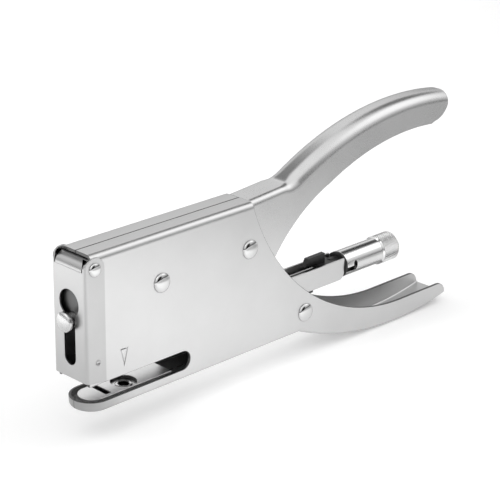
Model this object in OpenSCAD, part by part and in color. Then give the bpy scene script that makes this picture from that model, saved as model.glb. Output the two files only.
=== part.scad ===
// Plier stapler: a folded steel frame with a fixed lower handle, a pivoting upper handle,
// a rocker that drives the blade, and a bayonet loader that slides out of the back.
// +X runs from the nose to the handles, +Z is up, Y = 0 is the plane of symmetry.
// The origin is on the flat underside of the anvil arm, straight below the staple line.

/* [Frame] */
// Width over the two frame shells
frame_w = 13.4; // [13:0.1:14]
// Thickness of the frame sheet
sheet_t = 0.9; // [0.8:0.05:0.95]
// Height of the frame's top above the arm's underside
frame_top = 49; // [48.8:0.1:50]
// Front edge of the shells, ahead of the staple line
frame_front = 10.1; // [9.9:0.1:10.1]
// Outer radius of the long bends along the top
top_bend_r = 2.1; // [1.8:0.1:2.4]
// Outer radius of the long bends along the bottom
low_bend_r = 1.5; // [1.2:0.1:1.8]
// Gap of the seam where the two shells meet along the top
seam_gap = 0.2; // [0.1:0.05:0.3]

/* [Anvil arm and throat] */
// Height of the arm's side walls
arm_h = 3.3; // [3.2:0.1:3.5]
// Underside of the nose, which is the roof of the throat
throat_top = 9.3; // [9:0.1:9.5]
// Depth of the throat behind the staple line
throat_depth = 29.1; // [27:0.5:30]
// Centre of the arm's round front end
arm_front_x = -3.8; // [-4.2:0.1:-3.4]

/* [Nose cover] */
// Thickness of the nose cover's sheet
cover_t = 0.6; // [0.5:0.05:0.65]
// Front face of the nose cover, ahead of the staple line
cover_reach = 11.4; // [11.4:0.1:11.6]
// Length of the cover's side flanges
cover_flange = 7.2; // [6.8:0.1:7.4]
// Radius of the round part of the keyhole
keyhole_r = 4.2; // [4:0.1:4.4]
// Height of the keyhole's round part
keyhole_z = 33.8; // [33.4:0.1:34.2]
// Width of the keyhole's slot
keyhole_slot_w = 4.9; // [4.8:0.1:5.1]
// Lowest point of the keyhole's slot
keyhole_low = 14.8; // [14.5:0.1:14.8]

/* [Handles] */
// Width over the upper handle
handle_w = 11; // [10.8:0.1:11]
// Thickness of the upper handle's sheet
handle_t = 1; // [0.9:0.05:1]
// Radius of the upper handle's crowned back
crown_r = 114.3; // [114:0.1:114.6]
// Rounding of the edges along the crowned back
crown_edge_r = 4.2; // [3.6:0.1:4.4]
// Radius of the upper handle's open lower edge
grip_r = 92.4; // [92.2:0.1:92.6]
// Radius of the frame's rear edge, which runs on as the lower handle's rim
rear_r = 74.6; // [74.4:0.1:74.8]
// Radius of the lower handle's belly
belly_r = 116.5; // [116.3:0.1:116.7]
// Rear end of the lower handle
handle_end = 148.6; // [148:0.1:149.2]

/* [Rivets] */
// Radius of the three large rivet heads
head_r = 3.05; // [2.9:0.05:3.2]
// Height of a large rivet's dome
head_h = 1.2; // [1:0.1:1.4]
// Radius of the three large rivets' shanks
shank_r = 2; // [1.9:0.05:2.1]
// Running clearance of a pivot, on the radius
pivot_clear = 0.05; // [0.03:0.01:0.08]

/* [Drive] */
// Travel of the blade for a full squeeze
stroke = 11.4; // [11.2:0.05:11.4]
// Angle that the rocker swings above and below its middle position
half_swing = 15.36; // [15.36:0.01:15.5]
// Thickness of the driver blade
blade_t = 0.8; // [0.7:0.05:0.8]
// Width of the driver blade, as wide as the staple's crown
blade_w = 6; // [5.8:0.1:6]
// Width of the rocker lever
rocker_w = 6; // [5:0.5:7]

/* [Magazine] */
// Width over the magazine channel
channel_w = 7.4; // [7.3:0.1:7.4]
// Thickness of the channel's sheet
channel_t = 0.6; // [0.5:0.05:0.6]
// Underside of the channel
channel_low = 11.1; // [11.1:0.1:11.2]
// Height of the channel's side walls
channel_h = 7; // [7:0.1:7.2]
// Rear end of the channel
channel_end = 100.1; // [99.8:0.1:100.2]

/* [Loader] */
// Height of the guide rod's axis
rod_z = 14.8; // [14.7:0.1:14.9]
// Radius of the guide rod's thick part
rod_r = 2.2; // [2:0.05:2.2]
// Outer radius of the bayonet sleeve
sleeve_r = 4.35; // [4.3:0.05:4.5]
// Front edge of the bayonet sleeve
sleeve_front = 101.2; // [101:0.1:101.5]
// Radius over the knob's knurl
knob_r = 4.8; // [4.7:0.05:5]
// Front and rear faces of the knurled knob
knob_front = 118.4; // [118:0.1:119]
knob_end = 126.4; // [125.5:0.1:127]
// Angle from the axial leg of the bayonet slot to its seat
bayonet_turn = 22; // [20:1:25]

/* [Hidden] */

fine = 180;
half_frame = frame_w / 2;
half_inner = half_frame - sheet_t;
half_handle = handle_w / 2;
handle_inner = half_handle - handle_t;
half_channel = channel_w / 2;
channel_inner = half_channel - channel_t;
channel_top = channel_low + channel_h;
half_cover = half_frame + cover_t;

// Pivot and rivet places, seen from the side as [x, z]
nose_rivet_at = [-7.7, 44.9];
rocker_at = [17.9, 33.7];
pivot_at = [53.9, 34.4];
frame_rivet_at = [78.9, 6.4];
link_at = [32.8, 30.3];
link_r = 1.5;

// Centres of the long side-view arcs
rear_arc_at = [125.7, 72.1];
belly_arc_at = [124, 106.6];
crown_arc_at = [130.7, -48.1];
grip_arc_at = [130.7, -36.4];
grip_front_arc_at = [110.4, -5];
grip_front_r = 55.5;
rim_z = rear_arc_at[1] - rear_r;
kink_x = belly_arc_at[0] - sqrt(belly_r * belly_r - belly_arc_at[1] * belly_arc_at[1]);
top_end_x = rear_arc_at[0] - sqrt(rear_r * rear_r - pow(rear_arc_at[1] - frame_top, 2));
top_start_x = -8.6;

// Anvil
anvil_top = 3.2;
anvil_half_w = 4.5;
anvil_front_c = -3.4;
anvil_end = 23.6;
eyelet_x = 8.5;
cup_floor = 2.2;
eyelet_hole_r = 1.6;
eyelet_r = 2.1;

// The drive stack, front to back
carriage_front = -9.8;
carriage_t = 1;
carriage_low = 26;
carriage_top = 42.6;
carriage_half_w = 5.3;
carriage_back = -blade_t / 2;
rocker_arm = stroke / 2 / sin(half_swing);
rocker_tip_r = 1.9;
rocker_hub_r = 5;
bush_r = 3.2;
drive_pin_at = [-3.4, 35.2];
drive_pin_r = 1.9;
blade_low = 16.4;
blade_top = 35;
stud_z = 28.5;
stud_r = 2.1;

// Upper handle
fold_x = 72.5;
handle_top_front = 49;
handle_front_x = 55.3;
hub_clear_r = 12.6;
tip_at = [139.9, 63.9];
tip_r = 7.7;

// Loader
rod_thin_r = 0.7;
rod_shoulder = 60.5;
rod_journal_r = 1.5;
rod_journal_x = 115.2;
sleeve_bore_r = 3.5;
spigot_r = 3.42;
plug_front = 90.1;
plug_neck = 97.6;
plug_end = 110;
fin_t = 1.6;
fin_end = 93.8;
fin_top = 20.9;
slot_w = 1.7;
slot_angle = 14;
slot_leg = 3.9;

// ---------------------------------------------------------------- helpers

// A side-view outline, drawn in x and z, made a plate from y0 to y1
module side_plate(y0, y1) {
    translate([0, y1, 0])
        rotate([90, 0, 0])
            linear_extrude(y1 - y0) children();
}

// A bar of round section along Y, centred on the plane of symmetry
module cross_bar(at, r, length) {
    translate([at[0], 0, at[1]])
        rotate([90, 0, 0])
            cylinder(r = r, h = length, center = true, $fn = 64);
}

// A round tube along Y
module cross_tube(at, r_out, r_in, length) {
    difference() {
        cross_bar(at, r_out, length);
        cross_bar(at, r_in, length + 2);
    }
}

// A bar of round section along X on the loader's axis
module long_bar(x0, x1, r) {
    translate([x0, 0, rod_z])
        rotate([0, 90, 0])
            cylinder(r = r, h = x1 - x0, $fn = 96);
}

module disc_at(at, r) {
    translate(at) circle(r = r, $fn = fine);
}

module box(low, high) {
    translate(low) cube(high - low);
}

// Two circles joined by straight flanks that run a hair inside their common tangents
module strap(p, r, q, s) {
    d = norm(q - p);
    dir = atan2(q[1] - p[1], q[0] - p[0]);
    lean = acos((r - s) / d);
    near = r - 0.03;
    far = s - 0.03;
    disc_at(p, r);
    disc_at(q, s);
    polygon([
        p + near * [cos(dir + lean), sin(dir + lean)],
        p + near * [cos(dir - lean), sin(dir - lean)],
        q + far * [cos(dir - lean), sin(dir - lean)],
        q + far * [cos(dir + lean), sin(dir + lean)]
    ]);
}

// Half of a low dome in section: a circular cap of radius r and height h above y = 0
module dome_section(r, h) {
    ball_r = (r * r + h * h) / (2 * h);
    intersection() {
        translate([0, h - ball_r]) circle(r = ball_r, $fn = fine);
        square([r, h]);
    }
}

// A through rivet along Y with a domed head on each face of a stack of the given width
module through_rivet(at, shank, head, dome, width) {
    cross_bar(at, shank, width);
    for (side = [-1, 1])
        translate([at[0], 0, at[1]])
            rotate([side * 90, 0, 0])
                translate([0, 0, width / 2])
                    rotate_extrude($fn = 64) dome_section(head, dome);
}

// Corner points of a round wire's section at fraction t of a coil along Z
function wire_ring(r, wire, z0, z1, turns, t, sides) =
    let (a = 360 * turns * t)
    [for (i = [0 : sides - 1])
        let (b = 360 * i / sides, q = r + wire * cos(b))
        [q * cos(a), q * sin(a), z0 + (z1 - z0) * t + wire * sin(b)]];

// A round-wire coil spring along Z, its ends at z0 and z1
module coil(r, wire, z0, z1, turns, per_turn, sides) {
    steps = turns * per_turn;
    points = [for (k = [0 : steps])
        for (p = wire_ring(r, wire, z0 + wire, z1 - wire, turns, k / steps, sides)) p];
    walls = [for (k = [0 : steps - 1]) for (i = [0 : sides - 1])
        let (a = k * sides + i, b = k * sides + (i + 1) % sides)
        [a, a + sides, b + sides, b]];
    first = [for (i = [0 : sides - 1]) i];
    last = [for (i = [sides - 1 : -1 : 0]) steps * sides + i];
    polyhedron(points, concat(walls, [first], [last]));
}

// ---------------------------------------------------------------- frame shells

// Side wall between its top and bottom bends
module shell_outline() {
    gap = throat_top - arm_h;
    corner = 1.5;
    difference() {
        union() {
            translate([-frame_front + corner, throat_top])
                square([90, frame_top - top_bend_r - throat_top]);
            translate([-frame_front, throat_top])
                square([20, frame_top - top_bend_r - throat_top - corner]);
            disc_at([-frame_front + corner, frame_top - top_bend_r - corner], corner);
            translate([arm_front_x, low_bend_r]) square([kink_x - arm_front_x, 20]);
            lower_wall_outline();
        }
        disc_at(rear_arc_at, rear_r);
        translate([-50, arm_h]) square([50 + throat_depth - gap / 2, gap]);
        disc_at([throat_depth - gap / 2, arm_h + gap / 2], gap / 2);
        disc_at(nose_rivet_at, 1.2);
        for (at = [rocker_at, pivot_at, frame_rivet_at])
            disc_at(at, shank_r);
    }
}

// Side wall of the lower handle, between its belly and its rim, with a round tip
module lower_wall_outline() {
    end_r = 4;
    intersection() {
        disc_at(belly_arc_at, belly_r - low_bend_r);
        union() {
            translate([60, -20]) square([rear_arc_at[0] - 60, 34]);
            translate([rear_arc_at[0] - 1, -20])
                square([handle_end - end_r - rear_arc_at[0] + 1, 20 + rim_z]);
            disc_at([handle_end - end_r, rim_z - end_r], end_r);
        }
    }
}

// Section of a long bend: half a web, its rounded outer corner and a little of the wall.
// The outer faces lie on the two axes.
module bend_section(bend_r, wall_h, gap) {
    difference() {
        union() {
            translate([bend_r, 0]) square([half_frame - bend_r - gap / 2, sheet_t]);
            translate([0, bend_r]) square([sheet_t, wall_h]);
            intersection() {
                translate([bend_r, bend_r]) circle(r = bend_r, $fn = fine);
                square(bend_r);
            }
        }
        translate([bend_r, bend_r]) circle(r = bend_r - sheet_t, $fn = 64);
    }
}

// The near half of the frame, on the -Y side
module half_shell() {
    difference() {
        union() {
            side_plate(-half_frame, -half_inner) shell_outline();
            top_flange();
            arm_web();
            belly_web();
            arm_strap();
        }
        translate([eyelet_x, 0, -1]) cylinder(r = eyelet_r, h = 3, $fn = 64);
    }
}

module top_flange() {
    translate([top_start_x, 0, 0])
        rotate([90, 0, 90])
            linear_extrude(top_end_x - top_start_x)
                translate([-half_frame, frame_top])
                    mirror([0, 1, 0]) bend_section(top_bend_r, 0.05, seam_gap);
}

module arm_web() {
    translate([arm_front_x, 0, 0])
        rotate([90, 0, 90])
            linear_extrude(kink_x + 1.2 - arm_front_x)
                translate([-half_frame, 0]) bend_section(low_bend_r, 0.3, 0);
}

// The lower handle's web, swept about the centre of its belly
module belly_web() {
    intersection() {
        translate([belly_arc_at[0], 0, belly_arc_at[1]])
            rotate([90, 0, 0])
                rotate_extrude($fn = 360)
                    translate([belly_r, half_frame])
                        mirror([1, 1, 0]) bend_section(low_bend_r, 0.3, 0);
        box([kink_x - 0.5, -20, -20], [handle_end - 0.3, 20, 20]);
    }
}

// The round strap at the front of the arm, with the floor inside it
module arm_strap() {
    intersection() {
        translate([arm_front_x, 0, 0])
            rotate_extrude($fn = fine) difference() {
                union() {
                    square([half_frame - low_bend_r, sheet_t]);
                    translate([half_inner, low_bend_r]) square([sheet_t, arm_h - low_bend_r]);
                    intersection() {
                        translate([half_frame - low_bend_r, low_bend_r])
                            circle(r = low_bend_r, $fn = fine);
                        translate([half_frame - low_bend_r, 0]) square(low_bend_r);
                    }
                }
                translate([half_frame - low_bend_r, low_bend_r])
                    circle(r = low_bend_r - sheet_t, $fn = 64);
            }
        box([-20, -20, -1], [arm_front_x, 0, 10]);
    }
}

// A small engraved arrow above the staple line shows where the staple goes in
module arrow_mark() {
    line = 0.25;
    difference() {
        polygon([[1.5, 17.7], [4.7, 17.6], [3.1, 11.8]]);
        polygon([[1.5 + 1.4 * line, 17.7 - line], [4.7 - 1.4 * line, 17.6 - line],
            [3.1, 11.8 + 4 * line]]);
    }
}

module left_shell() {
    color("silver") difference() {
        half_shell();
        side_plate(-half_frame - 1, -half_frame + 0.12) arrow_mark();
    }
}

module right_shell() {
    color("silver") mirror([0, 1, 0]) half_shell();
}

module frame_rivet() {
    color("gainsboro") through_rivet(frame_rivet_at, shank_r, head_r, head_h, frame_w);
}

module frame_spacer() {
    color("gray") cross_tube(frame_rivet_at, 3.2, shank_r, 2 * half_inner);
}

// ---------------------------------------------------------------- nose

module keyhole_outline() {
    circle(r = keyhole_r, $fn = fine);
    slot_r = keyhole_slot_w / 2;
    low = keyhole_low + slot_r - keyhole_z;
    translate([-slot_r, low]) square([keyhole_slot_w, -low]);
    translate([0, low]) circle(r = slot_r, $fn = fine);
}

// Plan of the cover: a front wall, two corner bends and two flanges
module cover_plan() {
    bend = 1.2;
    x0 = -cover_reach;
    difference() {
        union() {
            translate([x0, bend - half_cover]) square([bend + 1, 2 * (half_cover - bend)]);
            translate([x0 + bend, -half_cover]) square([cover_flange - bend, 2 * half_cover]);
            for (side = [-1, 1])
                disc_at([x0 + bend, side * (half_cover - bend)], bend);
        }
        translate([x0 + bend, -half_frame]) square([20, frame_w]);
        translate([x0 + cover_t, bend - half_cover]) square([20, 2 * (half_cover - bend)]);
        for (side = [-1, 1])
            disc_at([x0 + bend, side * (half_cover - bend)], bend - cover_t);
    }
}

// Side view of a flange: slanted foot, straight rear edge, round ear about the nose rivet
module flange_outline() {
    ear_r = cover_flange / 2;
    ear_x = -cover_reach + ear_r;
    polygon([[-cover_reach, 10.7], [-cover_reach + cover_flange, 9.7],
        [-cover_reach + cover_flange, 44.9], [-cover_reach, 44.9]]);
    disc_at([ear_x, 44.9], ear_r);
}

module nose_cover() {
    bend = 1.2;
    roll_r = 3.3;
    color("silver") difference() {
        union() {
            intersection() {
                translate([0, 0, 5]) linear_extrude(50) cover_plan();
                union() {
                    side_plate(-20, 20) flange_outline();
                }
                union() {
                    box([-20, -20, 0], [10, 20, 44.6]);
                    for (side = [-1, 1])
                        box([-20, side * 7 - 0.9, 44], [10, side * 7 + 0.9, 60]);
                }
            }
            tongue(roll_r);
        }
        translate([-cover_reach - 1, 0, keyhole_z])
            rotate([90, 0, 90]) linear_extrude(2) keyhole_outline();
        cross_bar(nose_rivet_at, 1.2, 30);
        for (side = [-1, 1])
            translate([-7.1, side * (half_cover + 0.9), 16.4]) sphere(r = 1.3, $fn = 64);
    }
}

// The front wall rolls back over the nose, between the ears and under the top flanges
module tongue(roll_r) {
    side_plate(-5.7, 5.7) {
        intersection() {
            difference() {
                disc_at([-cover_reach + roll_r, 44.5], roll_r);
                disc_at([-cover_reach + roll_r, 44.5], roll_r - cover_t);
            }
            translate([-20, 44.5]) square([20 - cover_reach + roll_r, 10]);
        }
        translate([-cover_reach + roll_r, 44.5 + roll_r - cover_t]) square([2.6, cover_t]);
    }
}

module nose_rivet() {
    color("gainsboro") through_rivet(nose_rivet_at, 1.2, 2.1, 0.9, 2 * half_cover);
}

// Closes the nose below the blade's carriage and guides the blade from the front
module driver_guide() {
    side = half_inner - 0.05;
    color("dimgray") {
        box([-10.6, -side, 10.8], [-blade_t / 2 - 0.1, side, 14.2]);
        for (s = [0, 1]) mirror([0, s, 0])
            box([-blade_t / 2 - 0.2, half_channel + 0.02, 10.8], [9, side, 14.2]);
    }
}

// ---------------------------------------------------------------- anvil

module anvil_plan(inset) {
    w = anvil_half_w - inset;
    disc_at([anvil_front_c, 0], w);
    translate([anvil_front_c, -w]) square([anvil_end - inset - anvil_front_c, 2 * w]);
}

// A plate with turned-down edges and a round cup pressed into it for the eyelet
module anvil_plate() {
    skin = 0.6;
    color("gainsboro") difference() {
        union() {
            difference() {
                translate([0, 0, sheet_t]) linear_extrude(anvil_top - sheet_t) anvil_plan(0);
                translate([0, 0, 0]) linear_extrude(anvil_top - skin) anvil_plan(0.7);
            }
            translate([eyelet_x, 0, cup_floor - 0.5])
                cylinder(r = 4.3, h = anvil_top - cup_floor + 0.2, $fn = 96);
        }
        box([-1, -3.3, 0], [1, 3.3, 10]);
        translate([eyelet_x, 0, cup_floor]) cylinder(r = 4.0, h = 3, $fn = 96);
        translate([eyelet_x, 0, 0]) cylinder(r = eyelet_r, h = 10, $fn = 64);
    }
}

module anvil_eyelet() {
    color("silver") translate([eyelet_x, 0, 0]) rotate_extrude($fn = 64)
        polygon([[eyelet_hole_r, 0], [eyelet_r, 0], [eyelet_r, cup_floor],
            [eyelet_r + 0.6, cup_floor], [eyelet_r + 0.5, cup_floor + 0.2],
            [eyelet_r - 0.1, cup_floor + 0.35], [eyelet_hole_r, cup_floor + 0.1]]);
}

// ---------------------------------------------------------------- magazine

module u_section(half_w, t, h) {
    difference() {
        translate([-half_w, 0]) square([2 * half_w, h]);
        translate([t - half_w, t]) square([2 * (half_w - t), h]);
    }
}

// A U channel along X from x0 to x1, its floor at z0
module u_channel(x0, x1, z0, half_w, t, h) {
    translate([x0, 0, z0])
        rotate([90, 0, 90])
            linear_extrude(x1 - x0) u_section(half_w, t, h);
}

module magazine_channel() {
    corner = 2.4;
    color("silver") difference() {
        u_channel(0.55, channel_end, channel_low, half_channel, channel_t, channel_h);
        side_plate(-10, 10) difference() {
            translate([channel_end - corner, channel_low - 1]) square([corner + 1, corner + 1]);
            disc_at([channel_end - corner, channel_low + corner], corner);
        }
    }
}

module magazine_lid() {
    color("gray") box([1.1, -half_channel, channel_top], [54, half_channel, channel_top + 0.6]);
}

// The staples' crowns slide on the top edges of this inner rail
module staple_rail() {
    color("gray") u_channel(0.6, 54, channel_low + channel_t, 2.4, 0.5, 4.2);
}

// A hat section that carries the channel between the shells
module magazine_bracket() {
    color("gray") difference() {
        union() {
            box([36, -half_channel - 0.7, channel_low - 0.8], [50, half_channel + 0.7, 16.8]);
            box([36, -half_inner, 16], [50, half_inner, 16.8]);
        }
        box([35, -half_channel, channel_low], [51, half_channel, 20]);
    }
}

module magazine_foot() {
    color("dimgray") box([84, -2.4, channel_low - 1.5], [87, 2.4, channel_low]);
}

// ---------------------------------------------------------------- return spring

spring_x = 9;
spring_low = channel_top + 1.2;
spring_top = 30.8;

module spring_seat() {
    color("gray") translate([spring_x, 0, channel_top + 0.6]) {
        cylinder(r = 3.6, h = 0.6, $fn = 64);
        cylinder(r = 1.7, h = 3.2, $fn = 64);
    }
}

module return_spring() {
    color("darkgray") translate([spring_x, 0, 0])
        coil(2.5, 0.45, spring_low, spring_top, 6, 24, 8);
}

// ---------------------------------------------------------------- pivots

module rocker_rivet() {
    color("gainsboro") through_rivet(rocker_at, shank_r, head_r, head_h, frame_w);
}

module rocker_spacers() {
    gap = rocker_w / 2 + 0.15;
    color("gray") for (s = [0, 1]) mirror([0, s, 0])
        side_plate(gap, half_inner) difference() {
            disc_at(rocker_at, 3.4);
            disc_at(rocker_at, shank_r);
        }
}

module handle_rivet() {
    color("gainsboro") through_rivet(pivot_at, shank_r, head_r, head_h, frame_w);
}

// ---------------------------------------------------------------- rocker and driver

// Drawn with its front arm level, then turned to its rest position
module rocker_lever() {
    tip = [-rocker_arm, 0];
    slot_dir = 2.55;
    slot = [cos(slot_dir), sin(slot_dir)];
    color("darkgray") side_plate(-rocker_w / 2, rocker_w / 2)
        translate(rocker_at) rotate(-half_swing) difference() {
            union() {
                strap([0, 0], rocker_hub_r, tip, rocker_tip_r);
                strap([0, 0], rocker_hub_r, 15.1 * slot, 3.9);
            }
            disc_at([0, 0], bush_r);
            strap(14.3 * slot, link_r + 0.4, 15.9 * slot, link_r + 0.401);
        }
}

module rocker_bush() {
    color("peru") cross_tube(rocker_at, bush_r, shank_r + pivot_clear, rocker_w);
}

// A folded box that carries the blade: front wall, side walls, roof and low rear web
module driver_carriage() {
    inner = carriage_half_w - carriage_t;
    color("gray") difference() {
        union() {
            box([carriage_front, -carriage_half_w, carriage_low],
                [carriage_front + carriage_t, carriage_half_w, carriage_top]);
            for (s = [0, 1]) mirror([0, s, 0])
                box([carriage_front, inner, carriage_low], [-2.4, carriage_half_w, carriage_top]);
            for (s = [0, 1]) mirror([0, s, 0])
                box([-2.5, inner, carriage_low], [carriage_back, carriage_half_w, blade_top]);
            box([carriage_front, -carriage_half_w, carriage_top - 0.9],
                [-2.4, carriage_half_w, carriage_top]);
            box([carriage_back - carriage_t, -carriage_half_w, carriage_low],
                [carriage_back, carriage_half_w, blade_top]);
        }
        cross_bar(drive_pin_at, drive_pin_r, 30);
        translate([-20, 0, stud_z]) rotate([0, 90, 0]) cylinder(r = stud_r, h = 15, $fn = 64);
        for (z = [29, 32.6])
            translate([-2, 0, z]) rotate([0, 90, 0]) cylinder(r = 0.8, h = 4, $fn = 48);
    }
}

module drive_pin() {
    color("silver") cross_bar(drive_pin_at, drive_pin_r, 2 * carriage_half_w);
}

module driver_blade() {
    color("silver") difference() {
        box([-blade_t / 2, -blade_w / 2, blade_low], [blade_t / 2, blade_w / 2, blade_top]);
        for (z = [29, 32.6])
            translate([-2, 0, z]) rotate([0, 90, 0]) cylinder(r = 0.8, h = 4, $fn = 48);
    }
}

module blade_rivets() {
    color("gainsboro") for (z = [29, 32.6])
        translate([-blade_t / 2 - carriage_t - 0.4, 0, z]) rotate([0, 90, 0]) {
            cylinder(r = 0.8, h = carriage_t + blade_t + 0.8, $fn = 48);
            cylinder(r = 1.3, h = 0.4, $fn = 48);
            translate([0, 0, carriage_t + blade_t + 0.4]) cylinder(r = 1.3, h = 0.4, $fn = 48);
        }
}

// The button that shows in the keyhole and frees a jammed staple when it is pushed up
module release_stud() {
    color("silver") translate([0, 0, stud_z]) rotate([0, 90, 0]) {
        translate([0, 0, carriage_front - 3]) cylinder(r = stud_r, h = carriage_t + 3, $fn = 64);
        translate([0, 0, -12.5]) mirror([0, 0, 1]) rotate_extrude($fn = 64) {
            square([3.05, 0.9]);
            translate([0, 0.9]) dome_section(3.05, 0.9);
        }
        translate([0, 0, -12.5]) cylinder(r = stud_r, h = 1, $fn = 64);
        translate([0, 0, carriage_front + carriage_t]) cylinder(r = 2.9, h = 0.6, $fn = 64);
    }
}

// ---------------------------------------------------------------- upper handle

// Side view of the handle's walls
module handle_outline() {
    difference() {
        union() {
            strap(pivot_at, 8.5, link_at, 4.2);
            disc_at(pivot_at, hub_clear_r);
            intersection() {
                translate([52.5, 26.2]) square([100, 50]);
                union() {
                    translate([0, 0]) square([tip_at[0], 80]);
                    disc_at(tip_at, tip_r);
                    translate([tip_at[0], tip_at[1]]) square([tip_r, 10]);
                }
            }
        }
        disc_at(grip_front_arc_at, grip_front_r);
        intersection() {
            disc_at(grip_arc_at, grip_r);
            translate([89, 0]) square([80, 80]);
        }
        translate([0, -1]) square([47, 26]);
        polygon([[20, 60], [20, 34.5], [36, 34.5], [46, 42], [46, 60]]);
        translate([40, 46.8]) square([handle_front_x - 40, 20]);
        disc_at(pivot_at, shank_r + pivot_clear);
        disc_at(link_at, link_r);
    }
}

// The flat part of the walls: below the rounded edges of the back
module handle_wall_outline() {
    low = top_bend_r;
    intersection() {
        handle_outline();
        union() {
            polygon([[20, 0], [fold_x + 0.5, 0], [fold_x + 0.5, front_top_z(fold_x + 0.5) - low],
                [20, front_top_z(20) - low]]);
            intersection() {
                disc_at(crown_arc_at, crown_r - crown_edge_r);
                translate([fold_x - 0.5, 0]) square([100, 80]);
            }
        }
    }
}

// Section of the handle's back with rounded edges; its top is at 0
module back_section(edge_r) {
    difference() {
        hat(half_handle, edge_r);
        translate([0, -handle_t]) hat(handle_inner, edge_r - handle_t);
        translate([-half_handle, -20 - edge_r - 0.3]) square([handle_w, 20]);
    }
}

module hat(half_w, edge_r) {
    translate([-half_w, -10]) square([2 * half_w, 10 - edge_r]);
    translate([edge_r - half_w, -10]) square([2 * (half_w - edge_r), 10]);
    for (side = [-1, 1])
        disc_at([side * (half_w - edge_r), -edge_r], edge_r);
}

module upper_handle() {
    color("silver") {
        for (s = [0, 1]) mirror([0, s, 0])
            side_plate(handle_inner, half_handle) handle_wall_outline();
        // flat front part of the back
        intersection() {
            translate([handle_front_x, 0, handle_top_front])
                rotate([0, -front_slope, 0]) translate([-10, 0, 0])
                    rotate([90, 0, 90]) linear_extrude(40) back_section(top_bend_r);
            box([handle_front_x, -10, 0], [fold_x + 1, 10, 80]);
        }
        // crowned part of the back
        intersection() {
            translate([crown_arc_at[0], 0, crown_arc_at[1]])
                rotate([90, 0, 0]) rotate_extrude($fn = 360)
                    translate([crown_r, 0]) rotate(-90) back_section(crown_edge_r);
            box([fold_x - 1, -10, 0], [tip_at[0] + tip_r - 0.2, 10, 80]);
        }
    }
}

function crown_z(x) =
    crown_arc_at[1] + sqrt(crown_r * crown_r - pow(x - crown_arc_at[0], 2));

front_slope = atan((crown_z(fold_x) - handle_top_front) / (fold_x - handle_front_x));

function front_top_z(x) = handle_top_front + (x - handle_front_x) * tan(front_slope);

module handle_spacer() {
    color("gray") cross_tube(pivot_at, 3.4, shank_r + pivot_clear, 2 * handle_inner);
}

module link_pin() {
    color("silver") cross_bar(link_at, link_r, handle_w);
}

// ---------------------------------------------------------------- loader

module guide_rod() {
    color("gray") {
        long_bar(2, rod_shoulder, rod_thin_r);
        long_bar(rod_shoulder, rod_journal_x, rod_r);
        long_bar(rod_journal_x, knob_end - 2.2, rod_journal_r);
    }
}

module rod_stop() {
    color("silver") long_bar(1, 2, 1.05);
}

module rod_washer() {
    color("gray") long_bar(knob_end - 2.2, knob_end - 1.4, 2.6);
}

module pusher_spring() {
    color("silver") translate([0, 0, rod_z]) rotate([0, 90, 0])
        coil(1.35, 0.22, 9, rod_shoulder - 0.1, 26, 18, 6);
}

module follower() {
    color("silver") difference() {
        union() {
            box([0.9, -2.95, 16.05], [8.9, 2.95, 17.9]);
            box([0.9, -1.75, 12.35], [8.9, 1.75, 16.1]);
        }
        long_bar(0, 10, rod_thin_r + 0.08);
        long_bar(0, 2.2, 1.15);
    }
}

// Fixed in the channel's rear end: a block with an upright fin, then a neck, a collar in front
// of the sleeve and a round spigot inside it
module bayonet_plug() {
    color("black") difference() {
        union() {
            box([plug_front, -channel_inner, 11.7], [plug_neck, channel_inner, 17.6]);
            side_plate(-fin_t / 2, fin_t / 2)
                polygon([[84.6, 18.2], [plug_front - 0.3, 18.2], [plug_front + 0.3, 17.5],
                    [fin_end, 17.5], [fin_end, fin_top], [85.9, fin_top - 0.1]]);
            long_bar(plug_neck - 1, channel_end + 0.3, 3.05);
            long_bar(channel_end + 0.2, sleeve_front - 0.1, sleeve_r - 0.05);
            long_bar(channel_end + 0.3, plug_end, spigot_r);
        }
        long_bar(plug_front - 1, plug_end + 1, rod_r + 0.08);
        bayonet_pin_shape(0);
    }
}

module bayonet_pin_shape(clear) {
    translate([sleeve_front + slot_leg, 0, rod_z])
        rotate([slot_angle, 0, 0]) rotate([90, 0, 0])
            translate([0, 0, rod_r + 0.2]) cylinder(r = 0.7 + clear, h = sleeve_r - rod_r - 0.25, $fn = 48);
}

module bayonet_pin() {
    color("silver") bayonet_pin_shape(0);
}

// The bayonet slot: an axial leg from the front edge, then a leg around the sleeve to the seat
module bayonet_slot() {
    pin_x = sleeve_front + slot_leg;
    half = slot_w / 2;
    translate([0, 0, rod_z]) {
        rotate([slot_angle, 0, 0])
            box([sleeve_front - 1, -6, -half], [pin_x, 0, half]);
        translate([pin_x - half, 0, 0])
            rotate([slot_angle, 0, 0])
                rotate([90, 0, 90]) linear_extrude(slot_w)
                    polygon([[0, 0], [-7, 0], [-7 * cos(bayonet_turn), 7 * sin(bayonet_turn)]]);
        for (a = [0, bayonet_turn])
            rotate([slot_angle - a, 0, 0])
                translate([pin_x, 0, 0])
                    rotate([90, 0, 0]) cylinder(r = half, h = 7, $fn = 64);
    }
}

module bayonet_sleeve() {
    color("silver") difference() {
        long_bar(sleeve_front, knob_front, sleeve_r);
        long_bar(sleeve_front - 1, knob_front + 1, sleeve_bore_r);
        bayonet_slot();
    }
}

// Knurl: fine axial teeth around the knob
module knurl_outline() {
    teeth = 44;
    polygon([for (i = [0 : 2 * teeth - 1])
        let (a = 180 * i / teeth, r = knob_r - (i % 2) * 0.22)
        [r * cos(a), r * sin(a)]]);
}

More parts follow.
